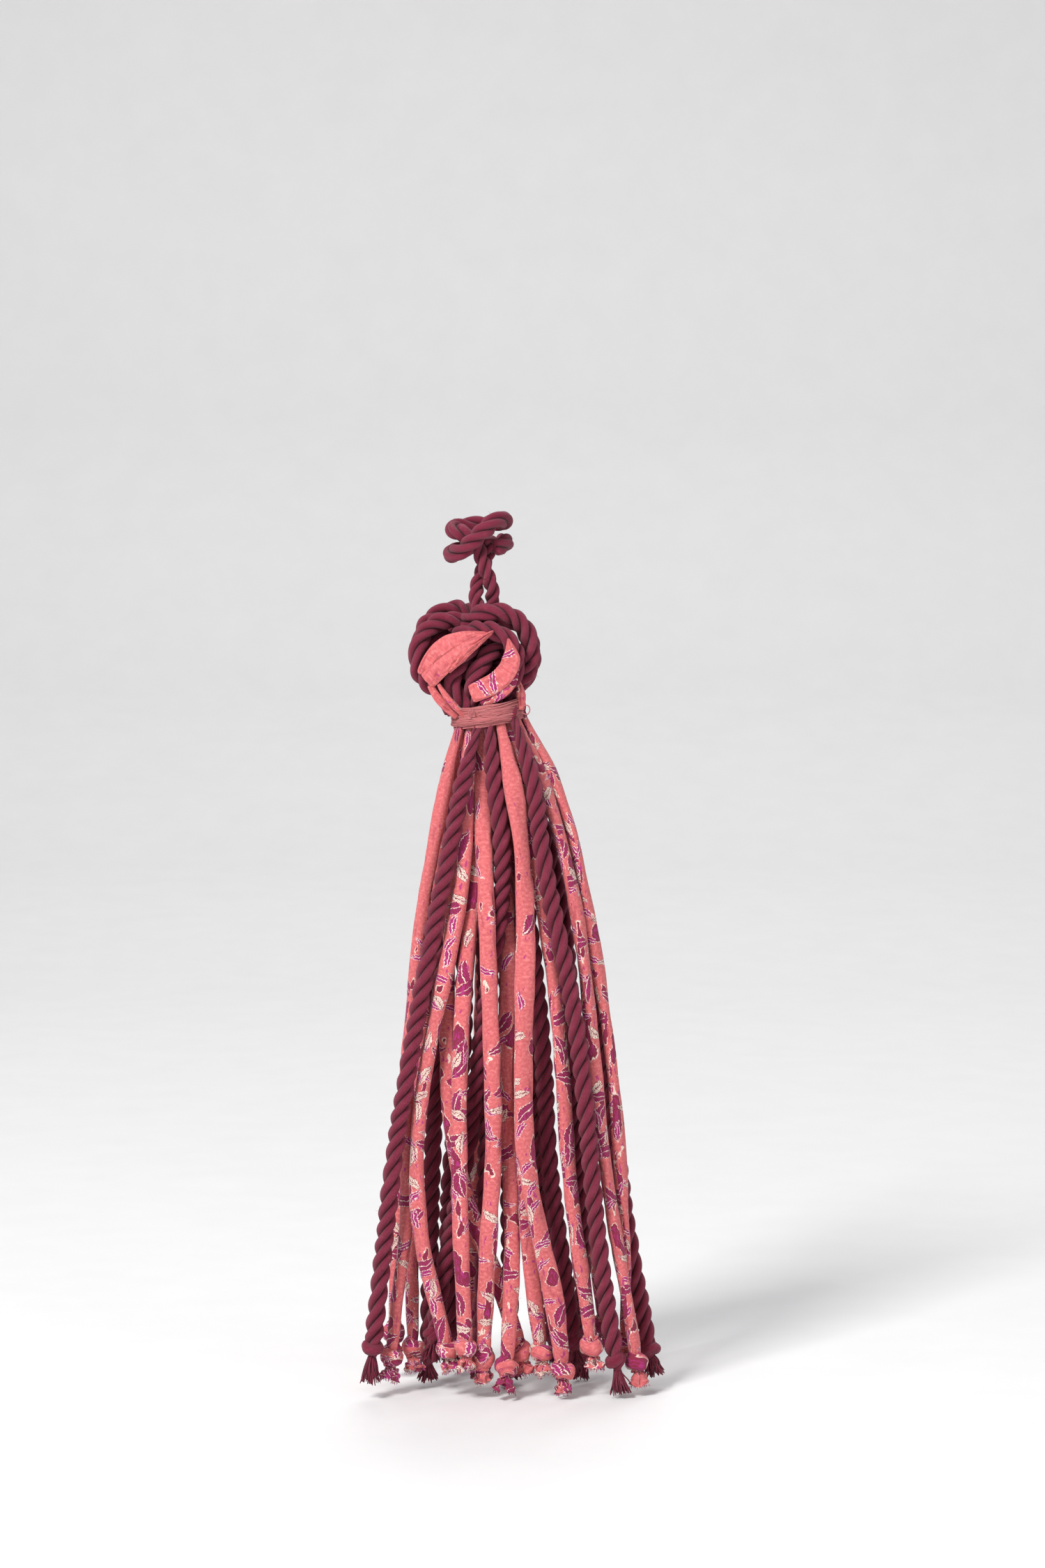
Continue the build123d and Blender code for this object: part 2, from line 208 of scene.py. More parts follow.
def nurbs_line(points, spacing):
    """Even points read from the NURBS curve whose control points are the route's points."""
    data = bpy.data.curves.new("route", "CURVE")
    data.dimensions = "3D"
    data.resolution_u = 24
    spline = data.splines.new("NURBS")
    spline.points.add(len(points) - 1)
    for control, place in zip(spline.points, points):
        control.co = (*place, 1)
    spline.order_u = 3
    spline.use_endpoint_u = True
    holder = bpy.data.objects.new("route", data)
    mesh = bpy.data.meshes.new_from_object(holder)
    read = np.array([v.co for v in mesh.vertices])
    bpy.data.objects.remove(holder)
    bpy.data.curves.remove(data)
    bpy.data.meshes.remove(mesh)
    along = np.concatenate([[0], np.cumsum(np.linalg.norm(np.diff(read, axis=0), axis=1))])
    wanted = np.linspace(0, along[-1], max(4, round(along[-1] / spacing)) + 1)
    return np.stack([np.interp(wanted, along, read[:, k]) for k in range(3)], axis=1), wanted


def ahead_of(line):
    step = np.gradient(line, axis=0)
    return step / np.linalg.norm(step, axis=1, keepdims=True)


def carried(line, first=(0, -1, 0)):
    """Side and outward directions that turn as little as they can along the line."""
    outward = np.empty_like(line)
    current = np.array(first, float)
    ahead = ahead_of(line)
    for i, step in enumerate(ahead):
        current = current - step * (current @ step)
        current /= np.linalg.norm(current)
        outward[i] = current
    return np.cross(ahead, outward), outward


def facing(line, outward, turn=0.0):
    """Side and outward directions with outward kept towards the given direction, then turned."""
    ahead = ahead_of(line)
    outward = np.broadcast_to(outward, line.shape)
    outward = outward - ahead * np.sum(outward * ahead, axis=1, keepdims=True)
    outward = outward / np.linalg.norm(outward, axis=1, keepdims=True)
    side = np.cross(ahead, outward)
    turn = np.broadcast_to(turn, len(line))[:, None]
    return side * np.cos(turn) + outward * np.sin(turn), outward * np.cos(turn) - side * np.sin(turn)


def wander(rng, along, reach, scale):
    """A smooth irregular curve, about plus or minus reach, that changes over about scale."""
    total = np.zeros(len(along))
    for share in (1.0, .6, .35):
        total += share * np.sin(along * 2 * math.pi * share / (scale * rng.uniform(.7, 1.3) * .6)
                                + rng.uniform(0, 2 * math.pi))
    return reach * total / 1.4


class Skin:
    """Closed tubes gathered into one mesh, with a map in millimetres and three tones for the materials:
    crest, how far a point stands out of the folds; shade, one value for each tube; cover, how printed."""

    def __init__(self):
        self.places, self.faces, self.weave = [], [], []
        self.crest, self.shade, self.cover = [], [], []
        self.count = 0

    def tube(self, line, axes, outline, weave, crest, shade=.5, cover=0.0):
        """outline: rings x corners x 2, in metres. weave: rings x (corners + 1) x 2, in millimetres."""
        side, outward = axes
        rings = line[:, None] + side[:, None] * outline[..., :1] + outward[:, None] * outline[..., 1:]
        many, corners = rings.shape[:2]
        index = self.count + np.arange(many * corners).reshape(many, corners)
        beside = np.roll(index, -1, axis=1)
        quads = np.stack([index[:-1], index[1:], beside[1:], beside[:-1]], axis=-1).reshape(-1, 4)
        near, far = weave[:-1], weave[1:]
        quad_weave = np.stack([near[:, :-1], far[:, :-1], far[:, 1:], near[:, 1:]], axis=2)
        first, last = self.count + many * corners, self.count + many * corners + 1
        starts = [(first, a, b) for a, b in zip(index[0], beside[0])]
        ends = [(last, b, a) for a, b in zip(index[-1], beside[-1])]
        self.places += [rings.reshape(-1, 3), line[:1], line[-1:]]
        self.faces += quads.tolist() + starts + ends
        self.weave += [quad_weave.reshape(-1, 2),
                       np.repeat(weave[0, :-1], 3, axis=0), np.repeat(weave[-1, :-1], 3, axis=0)]
        crest = np.broadcast_to(crest, (many, corners))
        self.crest += [crest.reshape(-1), crest[0, :1], crest[-1, :1]]
        self.shade.append(np.full(many * corners + 2, shade))
        cover = np.broadcast_to(cover, many)
        self.cover += [np.repeat(cover, corners), cover[:1], cover[-1:]]
        self.count += many * corners + 2

    def mesh(self, name, material, slot):
        data = bpy.data.meshes.new(name)
        data.from_pydata(np.concatenate(self.places), [], self.faces)
        layer = data.uv_layers.new(name="weave")
        layer.uv.foreach_set("vector", np.concatenate(self.weave).astype(np.float32).ravel())
        for title, values in (("crest", self.crest), ("shade", self.shade), ("cover", self.cover)):
            attribute = data.attributes.new(title, "FLOAT", "POINT")
            attribute.data.foreach_set("value", np.concatenate(values).astype(np.float32))
        data.polygons.foreach_set("use_smooth", np.ones(len(data.polygons), bool))
        data.materials.append(material)
        piece = bpy.data.objects.new(name, data)
        bpy.context.scene.collection.objects.link(piece)
        return piece


def rope_section(along, radius, pitch=ROPE_PITCH, start=0.0, depth=1.0, corners=42):
    """Three plies laid together and turning along the rope: outline, yarn map and height of the plies."""
    radius = np.broadcast_to(radius, len(along))[:, None]
    around = np.linspace(0, 2 * math.pi, corners + 1)
    lobe = (around[:-1] + math.pi / 3) % (2 * math.pi / 3) - math.pi / 3
    hub = .512 * depth
    reach = hub * np.cos(lobe) + np.sqrt((1 - hub) ** 2 - (hub * np.sin(lobe)) ** 2)
    turned = around[:-1] - 2 * math.pi * along[:, None] / pitch + start
    outline = np.stack([radius * reach * np.cos(turned), radius * reach * np.sin(turned)], axis=-1)
    mean = float(radius.mean())
    lean = 2 * math.pi * mean / pitch + .27
    weave = np.stack([around * mean - along[:, None] * lean,
                      np.broadcast_to(along[:, None], (len(along), corners + 1))], axis=-1) / MM
    crest = (reach - reach.min()) / max(reach.max() - reach.min(), 1e-9)
    return outline, weave, crest


def cloth_section(rng, along, half_width, half_depth, seam=None, corners=30, creases=6):
    """A rolled and flattened cloth tube with lengthwise creases and the raised edge of its seam."""
    around = np.linspace(0, 2 * math.pi, corners + 1)
    ring = around[:-1]
    blunt = .82
    across = np.sign(np.cos(ring)) * np.abs(np.cos(ring)) ** blunt
    through = np.sign(np.sin(ring)) * np.abs(np.sin(ring)) ** blunt
    swell = np.ones((len(along), corners))
    for _ in range(creases):
        middle = rng.uniform(0, 2 * math.pi) + wander(rng, along, .5, .05)[:, None]
        depth = np.clip(wander(rng, along, .09, .03), -.02, .14)[:, None]
        apart = (ring - middle + math.pi) % (2 * math.pi) - math.pi
        swell -= depth * np.exp(-(apart / .28) ** 2)
    if seam is not None:
        apart = (ring - seam - wander(rng, along, .12, .06)[:, None] + math.pi) % (2 * math.pi) - math.pi
        pucker = .5 + .5 * np.cos(2 * math.pi * along / .0026)[:, None]
        swell += np.where(apart > 0, .10 * np.exp(-(apart / .5) ** 2), .02 * np.exp(-(apart / .1) ** 2))
        swell -= .05 * pucker * np.exp(-((apart - .25) / .15) ** 2)
    half_width = np.broadcast_to(half_width, len(along))[:, None]
    half_depth = np.broadcast_to(half_depth, len(along))[:, None]
    outline = np.stack([half_width * across * swell, half_depth * through * swell], axis=-1)
    mean = float((half_width.mean() + half_depth.mean()) / 2)
    weave = np.stack([np.broadcast_to(around * mean, (len(along), corners + 1)),
                      np.broadcast_to(along[:, None], (len(along), corners + 1))], axis=-1) / MM
    return outline, weave, np.clip(.5 + 3 * (swell - 1), 0, 1)


def fuzz(skin, rng, line, axes, outline, count):
    """Short loose fibres that stand out of a yarn's surface."""
    side, outward = axes
    for ring, corner in zip(rng.integers(4, len(line) - 4, count), rng.integers(0, outline.shape[1], count)):
        u, v = outline[ring, corner]
        start = line[ring] + (side[ring] * u + outward[ring] * v) * .96
        out = start - line[ring]
        way = out / np.linalg.norm(out) + rng.normal(0, .9, 3)
        bend = rng.normal(0, .00022, 3)
        t = np.linspace(0, 1, 4)[:, None]
        hair = start + way * t * rng.uniform(.00015, .00045) + bend * t ** 2
        skin.tube(hair, carried(hair, (.3, .1, 1)), *round_section(4, .00003, 3))


def round_section(count, radius, corners=6):
    """A plain round thread or yarn of the given radius at each ring."""
    around = np.linspace(0, 2 * math.pi, corners + 1)
    radius = np.broadcast_to(radius, count)[:, None]
    outline = np.stack([radius * np.cos(around[:-1]), radius * np.sin(around[:-1])], axis=-1)
    weave = np.stack([np.broadcast_to(around * float(radius.max()), (count, corners + 1)),
                      np.broadcast_to(np.arange(count)[:, None] * MM, (count, corners + 1))], axis=-1) / MM
    return outline, weave, .8


# ---------------------------------------------------------------- materials

def linear(red, green, blue):
    """A colour given in display values, 0 to 255."""
    return [((c / 255 + .055) / 1.055) ** 2.4 if c > 10 else c / 255 / 12.92 for c in (red, green, blue)] + [1]


# BURGUNDY_LIGHT is the painted highlight on the rope's crests and also its random lighter blotches;
# BURGUNDY_DARK is the painted shade between yarns and plies and also the randomly darker yarns.
BURGUNDY, BURGUNDY_LIGHT, BURGUNDY_DARK = linear(122, 28, 54), linear(178, 74, 100), linear(32, 4, 15)
SALMON, SALMON_LIGHT, SALMON_DARK = linear(208, 102, 104), linear(228, 138, 136), linear(166, 70, 78)
PRINT_AND_SHADE_RED, MAGENTA, CREAM = linear(130, 34, 62), linear(172, 46, 120), linear(236, 214, 198)
# THREAD_LIGHT and THREAD_DARK likewise: painted highlight and painted shade, and randomly lighter and darker
# threads.
THREAD, THREAD_LIGHT, THREAD_DARK = linear(222, 124, 126), linear(246, 178, 172), linear(150, 66, 74)


class Nodes:
    """A material's node tree, with short calls for what the materials here repeat."""

    def __init__(self, name, roughness, sheen):
        self.material = bpy.data.materials.new(name)
        self.material.use_nodes = True
        self.tree = self.material.node_tree
        self.shader = self.tree.nodes["Principled BSDF"]
        self.shader.inputs["Roughness"].default_value = roughness
        self.shader.inputs["Sheen Weight"].default_value = sheen
        self.shader.inputs["Sheen Roughness"].default_value = .5
        self.shader.inputs["Specular IOR Level"].default_value = .25

    def put(self, kind, inputs=(), **settings):
        node = self.tree.nodes.new(kind)
        for key, value in settings.items():
            setattr(node, key, value)
        for socket, value in dict(inputs).items():
            if isinstance(value, bpy.types.NodeSocket):
                self.tree.links.new(value, node.inputs[socket])
            else:
                node.inputs[socket].default_value = value
        return node

    def sum(self, kind, a, b=0.0):
        return self.put("ShaderNodeMath", {0: a, 1: b}, operation=kind).outputs[0]

    def mix(self, factor, a, b):
        return self.put("ShaderNodeMix", {0: factor, 6: a, 7: b}, data_type="RGBA").outputs[2]

    def step(self, value, low, high):
        """0 below low, 1 above high, smooth between."""
        return self.put("ShaderNodeMapRange", {0: value, 1: low, 2: high, 3: 0.0, 4: 1.0},
                        interpolation_type="SMOOTHSTEP").outputs[0]

    def attribute(self, name):
        return self.put("ShaderNodeAttribute", attribute_name=name).outputs["Fac"]

    def weave(self):
        return self.put("ShaderNodeUVMap", uv_map="weave").outputs[0]

    def stretched(self, vector, scale, shift=(0, 0, 0)):
        return self.put("ShaderNodeMapping", {"Vector": vector, "Scale": scale, "Location": shift}).outputs[0]

    def noise(self, vector, scale, detail=3.0, rough=.55):
        return self.put("ShaderNodeTexNoise", {"Vector": vector, "Scale": scale, "Detail": detail,
                                               "Roughness": rough}).outputs[0]

    def object_place(self):
        return self.put("ShaderNodeTexCoord").outputs["Object"]

    def finish(self, colour, height, depth, strength=1.0):
        self.tree.links.new(colour, self.shader.inputs["Base Color"])
        bump = self.put("ShaderNodeBump", {"Height": height, "Distance": depth, "Strength": strength})
        self.tree.links.new(bump.outputs[0], self.shader.inputs["Normal"])
        return self.material


def yarn_material(name, base, light, dark, spacing, crest_highlight=.55):
    """Spun cotton: fine parallel yarns, with painted shade between the yarns and down between the plies, and a
    painted highlight on the crests.
    """
    n = Nodes(name, roughness=.8, sheen=.12)
    weave = n.weave()
    across = n.put("ShaderNodeSeparateXYZ", {0: weave}).outputs
    stray = n.noise(n.stretched(weave, (.5, .5, 1)), 1.0, 2)
    phase = n.sum("ADD", n.sum("MULTIPLY", across[0], 2 * math.pi / spacing), n.sum("MULTIPLY", stray, 5.0))
    ridge = n.sum("MULTIPLY_ADD", n.sum("SINE", phase), .5)
    n.tree.nodes[-1].inputs[2].default_value = .5
    blotch = n.noise(n.object_place(), 260, 4)
    fibre = n.noise(n.stretched(weave, (9, 1.6, 1)), 1.0, 4, .7)
    crest, shade = n.attribute("crest"), n.attribute("shade")
    # Painted highlight: lighter streaks along the yarns on the crests of the plies.
    lit = n.sum("MULTIPLY", n.step(fibre, .42, .72), n.step(crest, .45, 1.0))
    colour = n.mix(n.sum("MULTIPLY", lit, crest_highlight), base, light)
    colour = n.mix(n.sum("MULTIPLY", n.step(blotch, .5, .75), .22), colour, light)
    # Painted shade in the grooves between the yarns.
    colour = n.mix(n.sum("MULTIPLY", n.sum("SUBTRACT", 1.0, ridge), .30), colour, dark)
    # Painted shade down in the valleys between the plies.
    colour = n.mix(n.sum("MULTIPLY", n.step(crest, .5, 0.0), .85), colour, dark)
    colour = n.mix(n.sum("MULTIPLY", n.step(shade, .5, 1.0), .6), colour, dark)
    height = n.sum("ADD", n.sum("MULTIPLY", ridge, .6), n.sum("MULTIPLY", fibre, .9))
    return n.finish(colour, height, .00018)


def leaves(n, place, cover, cell, length, width, shift, share):
    """Leaves scattered one to a cell of a jittered grid, each turned its own way. Returns how far inside
    a leaf a point is, its distance from the midrib, and the slanting veins, in millimetres."""
    scaled = n.stretched(place, (1 / cell, 1 / cell, 1), shift)
    cells = n.put("ShaderNodeTexVoronoi", {"Vector": scaled, "Scale": 1.0, "Randomness": .85},
                  voronoi_dimensions="2D").outputs
    local = n.put("ShaderNodeVectorMath", {0: scaled, 1: cells["Position"]}, operation="SUBTRACT").outputs[0]
    chance = n.put("ShaderNodeSeparateXYZ", {0: cells["Color"]}).outputs
    lying = n.put("ShaderNodeVectorRotate", {"Vector": local, "Angle": n.sum("MULTIPLY", chance[1], 6.28)},
                  rotation_type="Z_AXIS").outputs[0]
    own = n.put("ShaderNodeSeparateXYZ", {0: lying}).outputs
    along = n.sum("MULTIPLY", own[0], cell)
    bow = n.sum("MULTIPLY", n.sum("MULTIPLY", along, along), .05)
    across = n.sum("ABSOLUTE", n.sum("ADD", n.sum("MULTIPLY", own[1], cell), bow))
    reach = n.sum("ABSOLUTE", n.sum("MULTIPLY", along, 1 / length))
    taper = n.sum("SUBTRACT", 1.0, n.sum("POWER", reach, 2.0))
    teeth = n.sum("MULTIPLY", n.sum("SINE", n.sum("MULTIPLY", n.sum("SUBTRACT", along, across), 8.0)), .10)
    inside = n.sum("ADD", n.sum("SUBTRACT", n.sum("MULTIPLY", taper, width), across), teeth)
    there = n.step(n.sum("ADD", chance[0], n.sum("MULTIPLY", cover, 3.0)), 1 - share, 1.02 - share)
    inside = n.sum("SUBTRACT", inside, n.sum("MULTIPLY", n.sum("SUBTRACT", 1.0, there), 9.0))
    veins = n.sum("SINE", n.sum("MULTIPLY", n.sum("SUBTRACT", along, n.sum("MULTIPLY", across, 1.4)), 7.5))
    return inside, across, veins


def cotton_material(name):
    """Fine plain-weave cotton, salmon, with a loose print of leaves where cover is high, and painted shade in
    its creases.
    """
    n = Nodes(name, roughness=.88, sheen=.12)
    weave = n.weave()
    shade, crest, cover = n.attribute("shade"), n.attribute("crest"), n.attribute("cover")
    offset = n.put("ShaderNodeCombineXYZ", {0: n.sum("MULTIPLY", shade, 173.0),
                                            1: n.sum("MULTIPLY", shade, 61.0)}).outputs[0]
    placed = n.put("ShaderNodeVectorMath", {0: weave, 1: offset}, operation="ADD").outputs[0]
    ragged = n.put("ShaderNodeTexNoise", {"Vector": placed, "Scale": .9, "Detail": 3.0}).outputs[1]
    pushed = n.put("ShaderNodeVectorMath", {0: ragged, 1: (.5, .5, .5)}, operation="SUBTRACT").outputs[0]
    pushed = n.put("ShaderNodeVectorMath", {0: pushed, 1: (1.3, 1.6, 0)}, operation="MULTIPLY").outputs[0]
    warped = n.put("ShaderNodeVectorMath", {0: placed, 1: pushed}, operation="ADD").outputs[0]
    mottle = n.noise(placed, 1.1, 5, .65)
    colour = n.mix(n.step(mottle, .45, .75), SALMON, SALMON_LIGHT)
    colour = n.mix(n.sum("MULTIPLY", n.step(mottle, .5, .3), .45), colour, SALMON_DARK)

    # Broad dark petals with a feathery pale edge
    dark = n.sum("ADD", n.noise(n.stretched(warped, (.16, .08, 1)), 1.0, 1.5), cover)
    hatch = n.noise(n.stretched(warped, (3.4, .45, 1)), 1.0, 1)
    colour = n.mix(n.sum("MULTIPLY", n.step(dark, .585, .592), n.step(hatch, .40, .46)), colour, CREAM)
    colour = n.mix(n.step(dark, .600, .607), colour, PRINT_AND_SHADE_RED)
    colour = n.mix(n.sum("MULTIPLY", n.sum("MULTIPLY", n.step(dark, .62, .66), n.step(hatch, .53, .58)), .8),
                   colour, MAGENTA)
    # Leaves: dark, magenta and pale
    for cell, length, width, shift, share, body, vein, rim in (
            (8.5, 5.6, 1.9, (0, 0, 0), .42, PRINT_AND_SHADE_RED, MAGENTA, CREAM),
            (6.5, 3.8, .9, (31, 17, 0), .34, MAGENTA, PRINT_AND_SHADE_RED, CREAM),
            (7.5, 3.9, 1.15, (7, 53, 0), .30, CREAM, PRINT_AND_SHADE_RED, PRINT_AND_SHADE_RED)):
        inside, across, veins = leaves(n, warped, cover, cell, length, width, shift, share)
        colour = n.mix(n.step(inside, -.17, -.11), colour, rim)
        colour = n.mix(n.step(inside, -.02, .05), colour, body)
        lines = n.sum("MULTIPLY", n.step(inside, .12, .2), n.step(veins, .35, .7))
        colour = n.mix(n.sum("MULTIPLY", lines, .85), colour, vein)
        colour = n.mix(n.sum("MULTIPLY", n.step(inside, .1, .2), n.step(across, .13, .08)), colour, rim)
    # Small strokes on the plain ground
    stroke = n.step(n.sum("ADD", n.noise(n.stretched(warped, (.9, .28, 1), (13, 9, 0)), 1.0, 1),
                          n.sum("MULTIPLY", cover, .5)), .665, .68)
    colour = n.mix(n.sum("MULTIPLY", stroke, .85), colour, MAGENTA)

    threads = {"Vector": weave, "Scale": 1.1, "Distortion": 1.5, "Detail": 1.0, "Detail Scale": 2.0}
    waves = [n.put("ShaderNodeTexWave", threads, bands_direction=way).outputs[1] for way in "XY"]
    cloth = n.sum("MULTIPLY", waves[0], waves[1])
    speck = n.noise(placed, 4.5, 3, .7)
    colour = n.mix(n.sum("MULTIPLY", n.step(speck, .45, .7), .28), colour, SALMON_DARK)
    # Painted shade in the creases and seam puckers, in the print's dark red.
    colour = n.mix(n.sum("MULTIPLY", n.step(crest, .45, .0), .6), colour, PRINT_AND_SHADE_RED)
    height = n.sum("ADD", n.sum("MULTIPLY", cloth, .5), n.sum("ADD", speck, n.noise(placed, .6, 4)))
    return n.finish(colour, height, .00009)


rope_yarn = yarn_material("rope_yarn", BURGUNDY, BURGUNDY_LIGHT, BURGUNDY_DARK, .46)
core_yarn = yarn_material("core_yarn", BURGUNDY, BURGUNDY, BURGUNDY_DARK, .46, .2)
thread_yarn = yarn_material("thread_yarn", THREAD, THREAD_LIGHT, THREAD_DARK, .2)
cotton = cotton_material("printed_cotton")


# ---------------------------------------------------------------- ropes

def rope(name, route, radius, body, node, seed, material=rope_yarn, slot="rope"):
    """A laid rope along a route, pinched and swollen a little at random along its length."""
    rng = np.random.default_rng(seed)
    line, along = nurbs_line(route, .00055)
    swell = radius * (1 + wander(rng, along, .03, .02))
    skin = Skin()
    lay = along + wander(rng, along, .0012, .03)
    section = rope_section(lay, swell, start=rng.uniform(0, 6))
    skin.tube(line, carried(line), *section)
    if slot == "rope":
        fuzz(skin, rng, line, carried(line), section[0], int(2200 * along[-1]))
    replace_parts(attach(skin.mesh(name, material, slot), body), node)


def turned(route):
    """The same route half a turn round the head's upright."""
    return [(2 * REAR_CENTRE[0] - x, 2 * REAR_CENTRE[1] - y, z) for x, y, z in route]


# Where the ends of the head's ropes go on, out of sight, towards the neck and the binding
HEAD_LEADS = {
    "head_rope_outer": ([(-.0075, -.0040, -.0300)], [(.0070, -.0050, -.0530), (.0060, -.0058, -.0575)]),
    "head_rope_inner": ([(-.0080, -.0085, -.0320)], [(.0040, -.0100, -.0540), (.0035, -.0095, -.0580)]),
    "head_rope_side": ([(.0005, -.0050, -.0290)], [(-.0080, -.0100, -.0540), (-.0050, -.0095, -.0580)]),
    "head_rope_centre_upper": ([(.0050, -.0050, -.0300)], [(-.0045, -.0110, -.0555), (-.0040, -.0105, -.0590)]),
    "head_rope_centre_lower": ([(.0100, -.0060, -.0320)], [(.0010, -.0105, -.0560), (.0010, -.0100, -.0590)]),
}

rope("hitch_rope", HITCH_ROUTE, HITCH_RADIUS, "hitch", "strap_hitch", 1)
for number, (name, route) in enumerate(HEAD_ROPES.items()):
    lead_in, lead_out = HEAD_LEADS[name]
    whole = [*lead_in, *route, *lead_out]
    rope(f"{name}_laid", whole, HEAD_ROPE_RADIUS, "head", name, 10 + number)
    rear = name.replace("head_", "rear_")
    rope(f"{rear}_laid", turned(whole), HEAD_ROPE_RADIUS, "head", rear, 20 + number)


def neck(side, sign):
    """One of the neck's two ropes, which twist lightly round each other. It is made as two pieces, upper and
    lower, cut midway between the heights of the neck's and the head's joints."""
    middle = sum(NECK_LEGS.values()) / 2
    route = []
    for height in (.0005, -.0035, -.0075, -.0115, -.0155, -.0195, -.0235, -.0270):
        twist = math.pi * (height + .0182) / .0198
        spread = NECK_SPREAD + .0007 * math.exp(-((height + .0178) / .003) ** 2)
        route.append((middle + sign * spread * math.cos(twist),
                      NECK_DEPTH - sign * spread * math.sin(twist), height))
    line, along = nurbs_line(route, .0005)
    outline, weave, crest = rope_section(along, NECK_RADIUS, .0135, sign, corners=36)
    side_on, outward = carried(line)
    cut = int(np.argmin(np.abs(line[:, 2] - (NECK_JOINT + HEAD_JOINT) / 2)))
    parts = (("upper", slice(0, cut + 1), ("hitch", "neck"), NECK_JOINT),
             ("lower", slice(cut, None), ("neck", "head"), HEAD_JOINT))
    for part, reach, bodies, level in parts:
        skin = Skin()
        skin.tube(line[reach], (side_on[reach], outward[reach]), outline[reach], weave[reach], crest)
        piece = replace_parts(skin.mesh(f"neck_{side}_{part}", rope_yarn, "rope"), f"neck_rope_{side}")
        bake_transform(piece)


neck("left", -1)
neck("right", 1)

# The inner passes of the head's knot
CORE_TURNS = [
    [(-.0085, -.0060, -.0345), (-.0020, -.0075, -.0335), (.0055, -.0060, -.0350), (.0060, -.0020, -.0380),
     (-.0010, -.0010, -.0390), (-.0085, -.0025, -.0400), (-.0090, -.0065, -.0425), (-.0020, -.0080, -.0435),
     (.0055, -.0060, -.0445), (.0055, -.0020, -.0470), (-.0020, -.0010, -.0480), (-.0080, -.0035, -.0490)],
    [(-.0120, -.0045, -.0280), (-.0168, -.0052, -.0340), (-.0150, -.0045, -.0420), (-.0085, -.0050, -.0500),
     (-.0030, -.0060, -.0570)],
    [(.0040, -.0050, -.0290), (.0088, -.0062, -.0345), (.0100, -.0050, -.0430), (.0060, -.0050, -.0510),
     (.0040, -.0060, -.0570)],
]
for number, route in enumerate(CORE_TURNS, 1):
    rope(f"head_core_pass_{number}", route, HEAD_ROPE_RADIUS, "head", "head_core", 40 + number,
         core_yarn, "rope_core")


# ---------------------------------------------------------------- folded strips in the head

# Each ply of the folded strips: its CAD node, its route, its half width from start to end, its print
PLIES = {
    "strip_upper_back": ("head_strip_upper", [
        (.0040, -.0165, -.0300), (-.0035, -.0176, -.0312), (-.0110, -.0168, -.0342), (-.0158, -.0148, -.0394),
        (-.0178, -.0134, -.0442)], (.0004, .0022, .0033, .0033, .0028), -.12),
    "strip_upper_low": ("head_strip_upper", [
        (.0042, -.0166, -.0302), (-.0012, -.0182, -.0338), (-.0062, -.0182, -.0384), (-.0098, -.0172, -.0428)],
        (.0004, .0013, .0016, .0006), -.12),
    "strip_upper_front": ("head_strip_upper", [
        (.0046, -.0166, -.0296), (-.0022, -.0188, -.0330), (-.0074, -.0186, -.0372), (-.0124, -.0172, -.0416),
        (-.0170, -.0150, -.0460)], (.0004, .0014, .0023, .0028, .0030), -.12),
    "strip_lower_under": ("head_strip_lower", [
        (.0122, -.0162, -.0400), (.0108, -.0172, -.0460), (.0058, -.0170, -.0504), (.0006, -.0160, -.0528)],
        (.0012, .0024, .0024, .0018), .10),
    "strip_lower_front": ("head_strip_lower", [
        (.0096, -.0176, -.0318), (.0112, -.0184, -.0378), (.0090, -.0186, -.0432), (.0040, -.0182, -.0474),
        (-.0026, -.0168, -.0500)], (.0004, .0030, .0034, .0033, .0030), -.05),
    "strip_right_tail": ("head_strip_lower", [
        (.0128, -.0120, -.0462), (.0142, -.0122, -.0505), (.0136, -.0116, -.0555)],
        (.0008, .0017, .0014), -.02),
    "strip_left_tail": ("head_strip_tail", [
        (-.0160, -.0142, -.0474), (-.0140, -.0152, -.0510), (-.0108, -.0146, -.0545), (-.0074, -.0132, -.0578)],
        (.0010, .0014, .0014, .0010), -.10),
    "strip_left_tail_inner": ("head_strip_tail", [
        (-.0132, -.0150, -.0470), (-.0112, -.0158, -.0506), (-.0080, -.0156, -.0540), (-.0050, -.0146, -.0572)],
        (.0006, .0011, .0011, .0008), -.03),
}


def ply(name, node, route, half_widths, cover, seed):
    """One ply of a folded cloth strip, crowned a little across and narrowing where it is tucked in."""
    rng = np.random.default_rng(seed)
    line, along = nurbs_line(route, .0004)
    share = along / along[-1]
    half = np.interp(share, np.linspace(0, 1, len(half_widths)), half_widths)
    half = half * np.interp(share, [0, .97, 1], [1, 1, .9])
    outline, weave, crest = cloth_section(rng, along, half, .00050, corners=48, creases=12)
    bow = .00055 * (1 - (outline[..., 0] / half[:, None]) ** 2)
    across = outline[..., 0] / half[:, None]
    for _ in range(3):
        fold = rng.uniform(-.7, .7) + wander(rng, along, .25, .015)[:, None]
        bow = bow + rng.uniform(.00018, .00035) * np.exp(-((across - fold) / .10) ** 2)
        bow = bow - .00030 * np.exp(-((across - fold - .22) / .12) ** 2)
    outline[..., 1] += bow + wander(rng, along, .00015, .008)[:, None]
    skin = Skin()
    skin.tube(line, facing(line, (0, -1, .15), wander(rng, along, .08, .02)), outline, weave, crest,
              shade=rng.uniform(0, 1), cover=cover)
    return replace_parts(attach(skin.mesh(name, cotton, "cotton_strip"), "head"), node)


plies = {name: ply(name, *details, 50 + number) for number, (name, details) in enumerate(PLIES.items())}


# ---------------------------------------------------------------- binding

def binding_place(angle, out, height):
    """A point round the slanted binding: out from its face, height from its middle."""
    x = BINDING_CENTRE[0] + (BINDING_HALF[0] + out) * np.cos(angle)
    y = BINDING_CENTRE[1] + (BINDING_HALF[1] + out) * np.sin(angle)
    return np.stack([x, y, BINDING_CENTRE[2] + BINDING_RISE * (x - BINDING_CENTRE[0]) + height], axis=-1)


